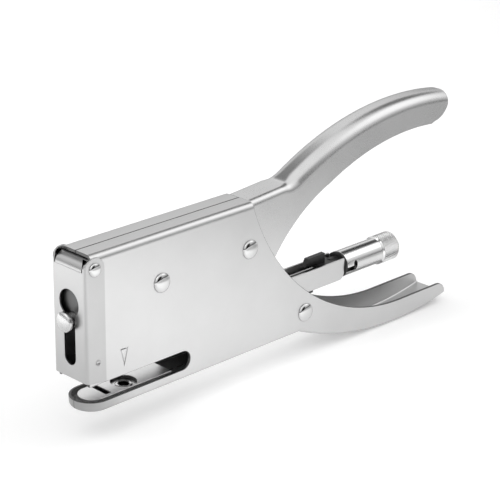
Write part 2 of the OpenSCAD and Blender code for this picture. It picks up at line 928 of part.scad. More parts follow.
module knurled_knob() {
    chamfer = 0.5;
    color("silver") difference() {
        union() {
            intersection() {
                translate([knob_front, 0, rod_z]) rotate([0, 90, 0])
                    linear_extrude(knob_end - knob_front) knurl_outline();
                translate([knob_front, 0, rod_z]) rotate([0, 90, 0]) rotate_extrude($fn = 96)
                    polygon([[0, 0], [knob_r - chamfer, 0], [knob_r + 0.1, chamfer + 0.1],
                        [knob_r + 0.1, knob_end - knob_front - chamfer - 0.1],
                        [knob_r - chamfer, knob_end - knob_front], [0, knob_end - knob_front]]);
            }
            long_bar(knob_front - 3, knob_front + 0.5, sleeve_bore_r);
        }
        long_bar(knob_front - 5, knob_end + 1, rod_journal_r + 0.06);
        long_bar(knob_end - 2.3, knob_end + 1, 3);
    }
}

// ---------------------------------------------------------------- selection

left_shell();
right_shell();
nose_cover();
nose_rivet();
anvil_plate();
anvil_eyelet();
driver_guide();
magazine_channel();
magazine_lid();
staple_rail();
magazine_bracket();
magazine_foot();
spring_seat();
return_spring();
rocker_rivet();
rocker_spacers();
handle_rivet();
frame_rivet();
frame_spacer();
bayonet_plug();
bayonet_pin();
rocker_lever();
rocker_bush();
driver_carriage();
drive_pin();
driver_blade();
blade_rivets();
release_stud();
upper_handle();
handle_spacer();
link_pin();
guide_rod();
rod_stop();
rod_washer();
pusher_spring();
follower();
bayonet_sleeve();
knurled_knob();
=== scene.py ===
import math

import bmesh
import bpy
from mathutils import Matrix, Vector


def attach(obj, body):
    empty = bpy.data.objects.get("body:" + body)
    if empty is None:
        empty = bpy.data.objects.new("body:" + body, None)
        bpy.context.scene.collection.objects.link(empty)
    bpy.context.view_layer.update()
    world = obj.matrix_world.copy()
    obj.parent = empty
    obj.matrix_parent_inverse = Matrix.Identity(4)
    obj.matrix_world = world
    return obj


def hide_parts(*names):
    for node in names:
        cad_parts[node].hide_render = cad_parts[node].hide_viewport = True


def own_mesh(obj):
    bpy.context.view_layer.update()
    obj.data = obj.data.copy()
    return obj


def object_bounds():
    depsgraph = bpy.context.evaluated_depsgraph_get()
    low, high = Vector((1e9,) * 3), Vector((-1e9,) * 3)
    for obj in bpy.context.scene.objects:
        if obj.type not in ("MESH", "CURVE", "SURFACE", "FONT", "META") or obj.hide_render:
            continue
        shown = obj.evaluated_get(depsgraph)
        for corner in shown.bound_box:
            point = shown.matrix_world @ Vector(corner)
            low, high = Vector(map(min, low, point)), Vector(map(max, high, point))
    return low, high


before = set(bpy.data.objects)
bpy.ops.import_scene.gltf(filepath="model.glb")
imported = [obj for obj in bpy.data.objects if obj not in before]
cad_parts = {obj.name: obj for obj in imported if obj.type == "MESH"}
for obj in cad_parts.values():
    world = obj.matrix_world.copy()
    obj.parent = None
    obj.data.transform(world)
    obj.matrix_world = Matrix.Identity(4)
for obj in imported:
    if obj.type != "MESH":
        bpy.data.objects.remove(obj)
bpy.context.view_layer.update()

MM = 0.001
scene = bpy.context.scene

# Places and sizes of the stapler, in millimetres; a place is (x, z)
FRAME_HALF = 6.7                            # half the folded frame's width
FRAME_TOP = 49.0
FRAME_SHEET = 0.9
REAR_AT, REAR_R = (125.7, 72.1), 74.6       # the frame's rear edge and the lower handle's rim
BELLY_AT, BELLY_R = (124.0, 106.6), 116.5   # the lower handle's underside
LOWER_END = 148.5                           # rear end of the lower handle's underside
NOSE_TOP_X = -8.6                           # front end of the frame's top bend
NOSE_FRONT_X = -10.1                        # front edge of the frame's walls
NOSE_BOTTOM = 9.3                           # lower edge of the nose, over the anvil
THROAT_AT, THROAT_R = (26.1, 6.3), 3.0      # round end of the gap between nose and arm
ARM_X = -3.8                                # centre of the arm's round front end
ARM_TOP = 3.3
HANDLE_HALF = 5.5
HANDLE_SHEET = 1.0
HANDLE_FRONT = 55.3                         # front end of the handle's back
CROWN_AT, CROWN_R, FOLD_X = (130.7, -48.1), 114.3, 72.5
ROCKER_AT = (17.9, 33.7)
PIVOT_AT = (53.9, 34.4)
LOWER_RIVET_AT = (78.9, 6.4)
NOSE_RIVET_AT = (-7.7, 44.9)
STUD_Z = 28.5
ROD_Z = 14.8
EYELET_X = 8.5
ANVIL_TOP = 3.2
SAME_PLACE = 2e-6                           # metres within which vertices are one


# ---------------------------------------------------------------- shader nodes

def shader(name):
    """A new material, its node tree and its Principled shader."""
    m = bpy.data.materials.new(name)
    m.use_nodes = True
    tree = m.node_tree
    tree.nodes.clear()
    out = tree.nodes.new("ShaderNodeOutputMaterial")
    bsdf = tree.nodes.new("ShaderNodeBsdfPrincipled")
    tree.links.new(bsdf.outputs["BSDF"], out.inputs["Surface"])
    return m, tree, bsdf


def noise(tree, coords, stretch, scale, detail, rough):
    """Noise in millimetres of the row frame, stretched along the axes."""
    mapping = tree.nodes.new("ShaderNodeMapping")
    mapping.inputs["Scale"].default_value = [s / MM for s in stretch]
    tree.links.new(coords.outputs["Object"], mapping.inputs["Vector"])
    n = tree.nodes.new("ShaderNodeTexNoise")
    n.inputs["Scale"].default_value = scale
    n.inputs["Detail"].default_value = detail
    n.inputs["Roughness"].default_value = rough
    tree.links.new(mapping.outputs["Vector"], n.inputs["Vector"])
    return n.outputs["Fac"]


def ramp(tree, fac, stops, ease=False):
    """A colour ramp from (position, grey or colour) stops."""
    r = tree.nodes.new("ShaderNodeValToRGB")
    r.color_ramp.interpolation = "EASE" if ease else "LINEAR"
    els = r.color_ramp.elements
    while len(els) < len(stops):
        els.new(0.5)
    for e, (p, c) in zip(els, stops):
        e.position = p
        e.color = (*c, 1) if isinstance(c, tuple) else (c, c, c, 1)
    tree.links.new(fac, r.inputs["Fac"])
    return r.outputs["Color"]


def map_range(tree, fac, low, high, start=0.3, end=0.7):
    """low to high as fac goes from start to end."""
    r = tree.nodes.new("ShaderNodeMapRange")
    r.inputs["From Min"].default_value = start
    r.inputs["From Max"].default_value = end
    r.inputs["To Min"].default_value = low
    r.inputs["To Max"].default_value = high
    tree.links.new(fac, r.inputs["Value"])
    return r.outputs["Result"]


def share(tree, fac, start, end):
    """0 to 1 as fac goes from start to end."""
    return map_range(tree, fac, 0.0, 1.0, start, end)


def mix_colours(tree, fac, a, b, blend="MIX"):
    """Mixes two colours. fac may be a number, and b may be four numbers."""
    mix = tree.nodes.new("ShaderNodeMix")
    mix.data_type = "RGBA"
    mix.blend_type = blend
    if isinstance(fac, float):
        mix.inputs["Factor"].default_value = fac
    else:
        tree.links.new(fac, mix.inputs["Factor"])
    tree.links.new(a, mix.inputs["A"])
    if isinstance(b, tuple):
        mix.inputs["B"].default_value = b
    else:
        tree.links.new(b, mix.inputs["B"])
    return mix.outputs["Result"]


def vector_math(tree, operation, source, *values):
    """A vector sum on source; values fill the node's other inputs."""
    node = tree.nodes.new("ShaderNodeVectorMath")
    node.operation = operation
    tree.links.new(source, node.inputs[0])
    for i, value in enumerate(values, 1):
        node.inputs[i].default_value = value
    return node


def split_xyz(tree, source):
    split = tree.nodes.new("ShaderNodeSeparateXYZ")
    tree.links.new(source, split.inputs[0])
    return split.outputs


# ---------------------------------------------------------------- materials

def metal(name, dark, light, rough, spread=0.03, grain=(1, 1, 1), grain_scale=3.0, bump=0.1,
          metallic=1.0):
    """A worked metal: broad tone clouds, a finer grain in the gloss, and grain in the relief."""
    cloud_scale, relief_depth = 0.05, 0.02 * MM
    m, tree, bsdf = shader(name)
    coords = tree.nodes.new("ShaderNodeTexCoord")
    broad = noise(tree, coords, (1, 1, 1), cloud_scale, 4.0, 0.55)
    fine = noise(tree, coords, grain, grain_scale, 4.0, 0.6)
    tree.links.new(ramp(tree, broad, [(0.3, dark), (0.7, light)]), bsdf.inputs["Base Color"])
    gloss = tree.nodes.new("ShaderNodeMath")
    gloss.operation = "ADD"
    tree.links.new(map_range(tree, fine, rough - spread, rough + spread), gloss.inputs[0])
    tree.links.new(map_range(tree, broad, -spread / 2, spread / 2), gloss.inputs[1])
    tree.links.new(gloss.outputs[0], bsdf.inputs["Roughness"])
    bsdf.inputs["Metallic"].default_value = metallic
    relief = tree.nodes.new("ShaderNodeBump")
    relief.inputs["Strength"].default_value = bump
    relief.inputs["Distance"].default_value = relief_depth
    tree.links.new(fine, relief.inputs["Height"])
    tree.links.new(relief.outputs["Normal"], bsdf.inputs["Normal"])
    return m


MATERIALS = {
    "satin_nickel": metal("satin_nickel", 0.56, 0.60, 0.32, 0.03, (1, 1, 1), 5.0, 0.22),
    "cover_nickel": metal("cover_nickel", 0.44, 0.49, 0.32, 0.03, (1, 1, 0.3), 5.0, 0.2),
    "handle_nickel": metal("handle_nickel", 0.55, 0.60, 0.29, 0.03, (0.6, 1, 1), 5.0, 0.2),
    "rivet_polish": metal("rivet_polish", 0.56, 0.62, 0.09, 0.02, (1, 1, 1), 2.0, 0.05),
    "shell_inside": metal("shell_inside", 0.50, 0.56, 0.40, 0.05, (1, 1, 1), 5.0, 0.3),
    "stud_nickel": metal("stud_nickel", 0.52, 0.58, 0.26, 0.03, (1, 1, 1), 3.0, 0.1),
    "anvil_steel": metal("anvil_steel", 0.80, 0.86, 0.34, 0.04, (0.3, 1, 1), 4.0, 0.15),
    "inner_steel": metal("inner_steel", 0.30, 0.38, 0.36, 0.05, (0.4, 1, 1), 4.0, 0.2),
    "dark_steel": metal("dark_steel", 0.022, 0.034, 0.40, 0.06, (1, 1, 1), 4.0, 0.25,
                        metallic=0.55),
    "spring_steel": metal("spring_steel", 0.42, 0.5, 0.25, 0.04, (1, 1, 1), 4.0, 0.1),
    "lever_steel": metal("lever_steel", 0.10, 0.14, 0.38, 0.05, (1, 1, 1), 3.0, 0.2),
    "eyelet_steel": metal("eyelet_steel", 0.62, 0.70, 0.16, 0.03, (1, 1, 1), 4.0, 0.1),
    "sheared_edge": metal("sheared_edge", 0.10, 0.16, 0.42, 0.05, (1, 1, 1), 5.0, 0.3),
    "bush_brass": metal("bush_brass", (0.60, 0.42, 0.20), (0.72, 0.52, 0.27), 0.28, 0.04,
                        (1, 1, 1), 3.0, 0.1),
    "ground_steel": metal("ground_steel", 0.30, 0.36, 0.20, 0.03, (3, 0.2, 0.2), 3.0, 0.1),
    "turned_nickel": metal("turned_nickel", 0.66, 0.73, 0.18, 0.03, (4, 0.15, 0.15), 3.0, 0.25),
}


def tinted(material, factor):
    """Multiplies a material's colour by factor(tree, place), place in millimetres."""
    tree = MATERIALS[material].node_tree
    bsdf = next(n for n in tree.nodes if n.type == "BSDF_PRINCIPLED")
    source = bsdf.inputs["Base Color"].links[0].from_socket
    coords = tree.nodes.new("ShaderNodeTexCoord")
    place = vector_math(tree, "MULTIPLY", coords.outputs["Object"], (1 / MM, 1 / MM, 1 / MM))
    tint = factor(tree, place.outputs["Vector"])
    tree.links.new(mix_colours(tree, 1.0, source, tint, "MULTIPLY"), bsdf.inputs["Base Color"])


def only_below(tree, height, tint, start, end):
    """The tint up to height = start, and no tint past height = end."""
    return mix_colours(tree, ramp(tree, height, [(start, 0.0), (end, 1.0)]), tint, (1, 1, 1, 1))


def painted_strap_shade(tree, place):
    """Painted shade on the strap round the front of the arm, darkest at its front end and only
    low down.
    """
    at = split_xyz(tree, place)
    tint = ramp(tree, share(tree, at["X"], -10.0, 8.0), [(0.0, 0.58), (1.0, 1.0)])
    return only_below(tree, share(tree, at["Z"], 3.0, 5.0), tint, 0.3, 0.7)


def from_cup(tree, place):
    """Distance from the axis of the anvil's round cup, in millimetres."""
    flat = vector_math(tree, "MULTIPLY_ADD", place, (1, 1, 0), (-EYELET_X, 0, 0))
    return vector_math(tree, "LENGTH", flat.outputs["Vector"]).outputs["Value"]


def painted_cup_wall_shade(tree, place):
    """Painted shade on the steep wall of the cup, below the plate's bright face."""
    ring = ramp(tree, share(tree, from_cup(tree, place), 3.0, 5.0),
                [(0.30, 1.0), (0.40, 0.10), (0.62, 0.10), (0.68, 1.0)])
    height = share(tree, split_xyz(tree, place)["Z"], ANVIL_TOP - 0.2, ANVIL_TOP - 0.02)
    return only_below(tree, height, ring, 0.2, 0.8)


def painted_eye_shade(tree, place):
    """Painted shade in the eyelet's hole, inside its bright rim."""
    return ramp(tree, share(tree, from_cup(tree, place), 1.0, 3.0), [(0.32, 0.06), (0.38, 1.0)])


# painted shade: the strap's front low down, the cup's wall and the eyelet's hole are darkened in
# the colour
tinted("satin_nickel", painted_strap_shade)
tinted("anvil_steel", painted_cup_wall_shade)
tinted("eyelet_steel", painted_eye_shade)


# ---------------------------------------------------------------- mesh helpers

def mesh_from(bm, name):
    """A smooth-shaded mesh from a finished bmesh, which is freed."""
    for f in bm.faces:
        f.smooth = True
    mesh = bpy.data.meshes.new(name)
    bm.to_mesh(mesh)
    bm.free()
    return mesh


def add_piece(name, mesh, body, material, replaced):
    """Makes a mesh a piece of the object, in the place of the CAD nodes named in replaced."""
    piece = bpy.data.objects.new(name, mesh)
    scene.collection.objects.link(piece)
    mesh.materials.clear()
    mesh.materials.append(MATERIALS[material])
    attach(piece, body)
    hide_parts(*replaced)
    return piece


def soften(piece, width, angle=32):
    """Breaks the sharp edges with a small round and shades the faces evenly."""
    piece.data.set_sharp_from_angle(angle=math.radians(angle))
    bevel = piece.modifiers.new("edge_round", "BEVEL")
    bevel.width = width * MM
    bevel.segments = 2
    bevel.limit_method = "ANGLE"
    bevel.angle_limit = math.radians(angle)
    bevel.use_clamp_overlap = False
    bevel.miter_outer = "MITER_ARC"
    weigh = piece.modifiers.new("even_shading", "WEIGHTED_NORMAL")
    weigh.keep_sharp = False
    weigh.weight = 50
    return bevel


def refined(node, body, material, round_mm):
    """A cleaned copy of a CAD node's faces, with its edges broken. The plug keeps its triangles,
    because its face round the neck is too thin at one place to be one polygon."""
    bm = bmesh.new()
    bm.from_mesh(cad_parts[node].data)
    bmesh.ops.remove_doubles(bm, verts=bm.verts, dist=SAME_PLACE)
    if node != "bayonet_plug":
        bmesh.ops.dissolve_limit(bm, angle_limit=math.radians(0.4), verts=bm.verts,
                                 edges=bm.edges)
    bmesh.ops.recalc_face_normals(bm, faces=bm.faces)
    mesh = mesh_from(bm, node + "_piece")
    soften(add_piece(mesh.name, mesh, body, material, [node]), round_mm)


def lathe(name, profile, place, body, material, replaced, around=64, relief=None):
    """A turned piece. profile is [(along, radius)...] in mm, place lays its axis +Z in the frame,
    and relief(along, angle) adds to the radius."""
    bm = bmesh.new()
    rings = []
    for along, radius in profile:
        if radius < 1e-6:
            rings.append([bm.verts.new((0, 0, along * MM))])
            continue
        ring = []
        for i in range(around):
            a = 2 * math.pi * i / around
            r = (radius + (relief(along, a) if relief else 0)) * MM
            ring.append(bm.verts.new((r * math.cos(a), r * math.sin(a), along * MM)))
        rings.append(ring)
    closed = len(rings[0]) > 1 and len(rings[-1]) > 1
    pairs = list(zip(rings, rings[1:])) + ([(rings[-1], rings[0])] if closed else [])
    for low, high in pairs:
        for i in range(around):
            j = (i + 1) % around
            if len(low) == 1:
                bm.faces.new((low[0], high[j], high[i]))
            elif len(high) == 1:
                bm.faces.new((low[i], low[j], high[0]))
            else:
                bm.faces.new((low[i], low[j], high[j], high[i]))
    bmesh.ops.recalc_face_normals(bm, faces=bm.faces)
    bm.transform(place)
    mesh = mesh_from(bm, name)
    mesh.set_sharp_from_angle(angle=math.radians(40))
    add_piece(name, mesh, body, material, replaced)


def along_y(x, z):
    """A turned piece's axis laid along +Y through (x, z)."""
    return Matrix.Translation((x * MM, 0, z * MM)) @ Matrix.Rotation(-math.pi / 2, 4, "X")


def along_x(z):
    """A turned piece's axis laid along +X at height z."""
    return Matrix.Translation((0, 0, z * MM)) @ Matrix.Rotation(math.pi / 2, 4, "Y")


def dome(radius, height, steps=9):
    """Points of a domed head, from its rim to its middle, as (rise, radius), rim rolled under."""
    points = [(0.0, radius - 0.12), (0.1, radius)]
    for i in range(steps + 1):
        t = math.radians(14 + 76 * i / steps)
        points.append((0.14 + (height - 0.14) * math.sin(t), radius * 0.99 * math.cos(t)))
    points[-1] = (height, 0.0)
    return points


def arc(centre, radius, start, end, count):
    """Points (x, z) in mm on an arc, angles in degrees from +X towards +Z."""
    return [(centre[0] + radius * math.cos(math.radians(start + (end - start) * i / count)),
             centre[1] + radius * math.sin(math.radians(start + (end - start) * i / count)))
            for i in range(count + 1)]


def angle_at(centre, x, z):
    """Direction of (x, z) from centre, in degrees from +X towards +Z."""
    return math.degrees(math.atan2(z - centre[1], x - centre[0]))


def outward(path, centre):
    """Unit directions away from centre at each point of path."""
    result = []
    for x, z in path:
        d = math.hypot(x - centre[0], z - centre[1])
        result.append(((x - centre[0]) / d, (z - centre[1]) / d))
    return result


# ---------------------------------------------------------------- folded sheet

class Skin:
    """The outer face of a folded sheet. Its wall lies on the plane y = -half, and its bends turn
    to the middle."""

    def __init__(self, half):
        self.bm = bmesh.new()
        self.half = half
        self.cache = {}

    def vert(self, x, y, z):
        key = (round(x, 4), round(y, 4), round(z, 4))
        if key not in self.cache:
            self.cache[key] = self.bm.verts.new((x * MM, y * MM, z * MM))
        return self.cache[key]

    def wall(self, outline):
        """A flat wall with this outline of (x, z) points."""
        verts = dict.fromkeys(self.vert(x, -self.half, z) for x, z in outline)
        self.bm.faces.new(list(verts))

    def lay(self, rows):
        """Faces between neighbouring rows of vertices; where corners meet they are triangles."""
        for a, b in zip(rows, rows[1:]):
            for k in range(len(a) - 1):
                corners = list(dict.fromkeys((a[k], b[k], b[k + 1], a[k + 1])))
                if len(corners) > 2:
                    self.bm.faces.new(corners)

    def strip(self, path, out, radius, middle, turns=7, web=1):
        """A bend along path, the wall's edge, turning towards out and on to y = middle.
        radius is a number, or one for each point of the path."""
        rows = []
        for i, ((x, z), (ox, oz)) in enumerate(zip(path, out)):
            r = radius[i] if isinstance(radius, list) else radius
            row = []
            for k in range(turns + 1):
                t = math.pi / 2 * k / turns
                rise = r * math.sin(t)
                row.append(self.vert(x + ox * rise, -self.half + r * (1 - math.cos(t)),
                                     z + oz * rise))
            for k in range(1, web + 1):
                y = (-self.half + r) + (middle + self.half - r) * k / web
                row.append(self.vert(x + ox * r, y, z + oz * r))
            rows.append(row)
        self.lay(rows)

    def mirror(self, geometry):
        """Mirrors faces and their vertices in the plane y = 0."""
        faces = [g for g in geometry if isinstance(g, bmesh.types.BMFace)]
        for v in {v for f in faces for v in f.verts}:
            v.co.y = -v.co.y
        bmesh.ops.reverse_faces(self.bm, faces=faces)

    def piece(self, name, thick, round_mm, body, material, slot, replaced, mirror=False,
              both=False, cutter=None):
        """Gives the skin its thickness inwards, darker cut edges, and the mark that cutter sinks.
        mirror puts it on the far side, and both adds the far side to the near one."""
        bmesh.ops.recalc_face_normals(self.bm, faces=self.bm.faces)
        self.bm.faces.ensure_lookup_table()
        flat = max(self.bm.faces, key=lambda f: f.calc_area())
        if flat.normal.y > 0:
            bmesh.ops.reverse_faces(self.bm, faces=self.bm.faces)
        if both:
            self.mirror(bmesh.ops.duplicate(self.bm, geom=list(self.bm.faces))["geom"])
            bmesh.ops.remove_doubles(self.bm, verts=self.bm.verts, dist=SAME_PLACE)
        if mirror:
            self.mirror(list(self.bm.faces))
        mesh = mesh_from(self.bm, name)
        work = bpy.data.objects.new(name + "_work", mesh)
        scene.collection.objects.link(work)
        for finish in (material, "shell_inside", "sheared_edge"):
            mesh.materials.append(MATERIALS[finish])
        sheet = work.modifiers.new("sheet", "SOLIDIFY")
        sheet.thickness = thick * MM
        sheet.offset = -1
        sheet.use_even_offset = True
        sheet.use_quality_normals = True
        sheet.material_offset = 1
        sheet.material_offset_rim = 2
        soften(work, round_mm, 50).material = 2
        if cutter:
            cut = work.modifiers.new("mark", "BOOLEAN")
            cut.operation = "DIFFERENCE"
            cut.solver = "EXACT"
            cut.object = cutter
            # the mark is cut before the faces are shaded
            work.modifiers.move(len(work.modifiers) - 1, len(work.modifiers) - 2)
        bpy.context.view_layer.update()
        graph = bpy.context.evaluated_depsgraph_get()
        final = bpy.data.meshes.new_from_object(work.evaluated_get(graph), depsgraph=graph)
        final.name = name
        bpy.data.objects.remove(work)
        piece = bpy.data.objects.new(name, final)
        scene.collection.objects.link(piece)
        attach(piece, body)
        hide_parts(*replaced)


# ---------------------------------------------------------------- turned pieces

def rivet(node, at, shank, head, height, width):
    half = width / 2
    rise = dome(head, height)
    near = [(-half - h, r) for h, r in reversed(rise)]
    far = [(half + h, r) for h, r in rise]
    profile = near + [(-half, shank), (half, shank)] + far
    lathe(node + "_turned", profile, along_y(*at), "frame", "rivet_polish",
          [node])


for node, at in (("rocker_rivet", ROCKER_AT), ("handle_rivet", PIVOT_AT),
                 ("frame_rivet", LOWER_RIVET_AT)):
    rivet(node, at, 2.0, 3.05, 1.2, 2 * FRAME_HALF)
rivet("nose_rivet", NOSE_RIVET_AT, 1.2, 2.1, 0.9, 14.6)


def stud():
    """The button in the keyhole: domed head, shank, and the upset end behind the carriage."""
    neck = -12.5
    head = [(neck - h, r) for h, r in reversed(
        [(0, 2.9), (0.15, 3.05), (0.8, 3.05), (1.05, 2.95), (1.3, 2.6), (1.5, 2.05), (1.65, 1.35),
         (1.75, 0.7), (1.8, 0.0)])]
    rest = [(neck, 2.1), (-8.8, 2.1), (-8.8, 2.6), (-8.65, 2.75), (-8.35, 2.75), (-8.2, 2.6),
            (-8.2, 0.0)]
    lathe("release_stud_turned", head + rest, along_x(STUD_Z), "driver", "stud_nickel",
          ["release_stud"])


stud()


def knob():
    """The knurled knob, with two crossing sets of cuts between its plain ends."""
    front, back, radius = 118.4, 126.4, 4.8
    plain, run_out = 0.55, 0.25
    cuts, depth = 46, 0.24
    # turn of the cuts for each millimetre along the knob
    twist = 2 * math.pi / cuts / 0.62 * 0.55

    def knurl(x, a):
        if not front + plain < x < back - plain:
            return 0.0
        fade = min(1.0, (x - front - plain) / run_out, (back - plain - x) / run_out)
        one = abs((cuts * (a + (x - front) * twist) / (2 * math.pi)) % 1 - 0.5) * 2
        two = abs((cuts * (a - (x - front) * twist) / (2 * math.pi)) % 1 - 0.5) * 2
        return -depth * fade * max(1 - one, 1 - two) ** 1.5

    profile = [(front - 3, 1.62), (front - 3, 3.42), (front - 0.05, 3.45), (front - 0.05, 4.2),
               (front + 0.08, 4.36), (front + 0.5, 4.78)]
    rings = 64
    profile += [(front + 0.56 + (back - front - 1.12) * i / rings, radius - 0.02)
                for i in range(rings + 1)]
    profile += [(back - 0.5, 4.78), (back - 0.1, 4.4), (back, 4.25), (back, 3.15),
                (back - 0.12, 3.0), (back - 2.28, 3.0), (back - 2.28, 1.62)]
    lathe("knurled_knob_turned", profile, along_x(ROD_Z), "bayonet", "turned_nickel",
          ["knurled_knob"], around=276, relief=knurl)


knob()


# ---------------------------------------------------------------- frame and handle

def half_shell(name, mirror, cutter=None):
    """One half of the folded frame: wall, top flange, and the web under arm and lower handle."""
    low_r, top_r = 1.5, 2.1
    top_edge = FRAME_TOP - top_r
    kink = BELLY_AT[0] - math.sqrt(BELLY_R ** 2 - BELLY_AT[1] ** 2)
    top_end = REAR_AT[0] - math.sqrt(REAR_R ** 2 - (REAR_AT[1] - top_edge) ** 2)
    skin = Skin(FRAME_HALF)
    # lower edge of the wall: arm, kink, belly
    straight = [(ARM_X + (kink - ARM_X) * i / 30, low_r) for i in range(30)]
    inner_r = BELLY_R - low_r
    # the mitre at the kink: the wall's edge where the two offsets meet
    mitre_half = math.radians((angle_at(BELLY_AT, kink, 0.0) + 90) / 2)
    lean = (math.sin(mitre_half), -math.cos(mitre_half))
    reach = low_r / math.cos(mitre_half)
    kink_at = (kink - lean[0] * reach, -lean[1] * reach)
    wall_end = math.degrees(math.asin((LOWER_END - BELLY_AT[0]) / inner_r)) - 90
    curve = arc(BELLY_AT, inner_r, angle_at(BELLY_AT, *kink_at), wall_end, 46)
    path = straight + curve
    out = [(0, -1)] * len(straight) + outward(curve, BELLY_AT)
    out[len(straight)] = (lean[0] * reach / low_r, lean[1] * reach / low_r)
    skin.strip(path, out, low_r, 0.0, web=2)
    # round tip of the lower handle, from the belly round to the rim
    rim_z, tip_r = REAR_AT[1] - REAR_R, 4.0
    tip_at = (144.6, rim_z - tip_r)
    tip = arc(tip_at, tip_r, angle_at(tip_at, *curve[-1]) + 5, 90, 14)
    rim = [(tip_at[0] - (tip_at[0] - REAR_AT[0]) * i / 5, rim_z) for i in range(1, 6)]
    edge = arc(REAR_AT, REAR_R, -90, angle_at(REAR_AT, top_end, top_edge), 70)
    top_line = [(top_end - (top_end - NOSE_TOP_X) * i / 24, top_edge) for i in range(25)]
    corner_r = NOSE_TOP_X - NOSE_FRONT_X
    corner = arc((NOSE_TOP_X, top_edge - corner_r), corner_r, 90, 180, 6)
    throat = arc(THROAT_AT, THROAT_R, 90, -90, 14)
    skin.wall(path + tip + rim + edge[1:] + top_line[1:] + corner[1:]
              + [(NOSE_FRONT_X, NOSE_BOTTOM), (THROAT_AT[0], NOSE_BOTTOM)] + throat[1:]
              + [(ARM_X, ARM_TOP)])
    # the top bend and flange
    skin.strip(top_line, [(0, 1)] * len(top_line), top_r, -0.1, web=2)
    # the round strap at the front of the arm
    rows = []
    for i in range(25):
        a = math.pi / 2 * i / 24
        c, s = math.sin(a), math.cos(a)
        profile = [(FRAME_HALF, ARM_TOP), (FRAME_HALF, low_r)]
        profile += [(FRAME_HALF - low_r * (1 - math.cos(math.pi / 2 * k / 7)),
                     low_r * (1 - math.sin(math.pi / 2 * k / 7))) for k in range(1, 8)]
        profile += [((FRAME_HALF - low_r) / 2, 0.0), (0.0, 0.0)]
        rows.append([skin.vert(ARM_X - r * c, -r * s, z) for r, z in profile])
    skin.lay(rows)
    bmesh.ops.remove_doubles(skin.bm, verts=skin.bm.verts, dist=SAME_PLACE)
    skin.piece(name + "_sheet", FRAME_SHEET, 0.13, "frame", "satin_nickel", "satin_nickel",
               [name], mirror=mirror, cutter=cutter)


def arrow_cutter():
    """The outline of the arrow mark, as a thin frame to sink into the near wall."""
    outer = [(1.5, 17.7), (4.7, 17.6), (3.1, 11.8)]
    inner = [(2.05, 17.3), (4.15, 17.22), (3.1, 13.3)]
    outside, deep = -7.2, -6.45
    bm = bmesh.new()
    out_front, out_back, in_front, in_back = (
        [bm.verts.new((x * MM, y * MM, z * MM)) for x, z in outline]
        for outline in (outer, inner) for y in (outside, deep))
    for i in range(3):
        j = (i + 1) % 3
        bm.faces.new((out_front[i], out_front[j], out_back[j], out_back[i]))
        bm.faces.new((in_front[j], in_front[i], in_back[i], in_back[j]))
        bm.faces.new((out_front[j], out_front[i], in_front[i], in_front[j]))
        bm.faces.new((out_back[i], out_back[j], in_back[j], in_back[i]))
    bmesh.ops.recalc_face_normals(bm, faces=bm.faces)
    mesh = bpy.data.meshes.new("arrow_cutter")
    bm.to_mesh(mesh)
    bm.free()
    cutter = bpy.data.objects.new("arrow_cutter", mesh)
    scene.collection.objects.link(cutter)
    return cutter


cutter = arrow_cutter()
half_shell("left_shell", False, cutter)
bpy.data.objects.remove(cutter)
half_shell("right_shell", True)


def upper_handle():
    """The folded handle: two walls and a back whose bends widen behind the fold."""
    flat_r, crown_r = 2.1, 4.2
    fold_z = CROWN_AT[1] + math.sqrt(CROWN_R ** 2 - (FOLD_X - CROWN_AT[0]) ** 2)
    slope = (fold_z - FRAME_TOP) / (FOLD_X - HANDLE_FRONT)

    def back(x):
        """Height of the handle's back, its crease at the fold a little eased."""
        flat = FRAME_TOP + (x - HANDLE_FRONT) * slope
        arch = CROWN_AT[1] + math.sqrt(CROWN_R ** 2 - (x - CROWN_AT[0]) ** 2)
        return 0.5 * (flat + arch + math.sqrt((flat - arch) ** 2 + 0.16))

    stations = [HANDLE_FRONT + 0.95 * i for i in range(15)]
    stations += [69.2 + 0.35 * i for i in range(20)]
    stations += [76.4 + (147.5 - 76.4) * i / 60 for i in range(61)]
    path, out, radii = [], [], []
    for x in stations:
        tilt = (back(x + 0.05) - back(x - 0.05)) / 0.1
        d = math.hypot(tilt, 1)
        blend = min(1.0, max(0.0, (x - 69.0) / 7.0))
        r = flat_r + (crown_r - flat_r) * blend * blend * (3 - 2 * blend)
        path.append((x + tilt / d * r, back(x) - r / d))
        out.append((-tilt / d, 1 / d))
        radii.append(r)
    skin = Skin(HANDLE_HALF)
    skin.strip(path, out, radii, 0.0, turns=9, web=3)
    # the wall: back, round tip, grip, front of the grip, hub, arm of the link pin, hub
    tip_at, grip_at, front_at = (139.9, 63.9), (130.7, -36.4), (110.4, -5.0)
    hub_r = 12.6
    outline = path + arc(tip_at, 7.7, angle_at(tip_at, *path[-1]) - 3, -84, 14)
    outline += arc(grip_at, 92.4, angle_at(grip_at, 138.9, 55.64),
                   angle_at(grip_at, 89.5, 46.3), 44)
    outline += arc(front_at, 55.5, angle_at(front_at, 89.0, 46.2),
                   angle_at(front_at, 64.5, 26.2), 34)
    outline += arc(PIVOT_AT, hub_r, -40.6, -123.2, 20)
    outline += [(47.0, 26.03)]
    outline += arc((32.8, 30.3), 4.2, -91, -270, 18)
    outline += [(36.0, 34.5), (46.0, 42.0)]
    outline += arc(PIVOT_AT, hub_r, 128.7, 100.2, 8)
    skin.wall(outline)
    skin.piece("upper_handle_sheet", HANDLE_SHEET, 0.14, "handle", "handle_nickel",
               "satin_nickel", ["upper_handle"], both=True)


upper_handle()


# ---------------------------------------------------------------- the other pieces

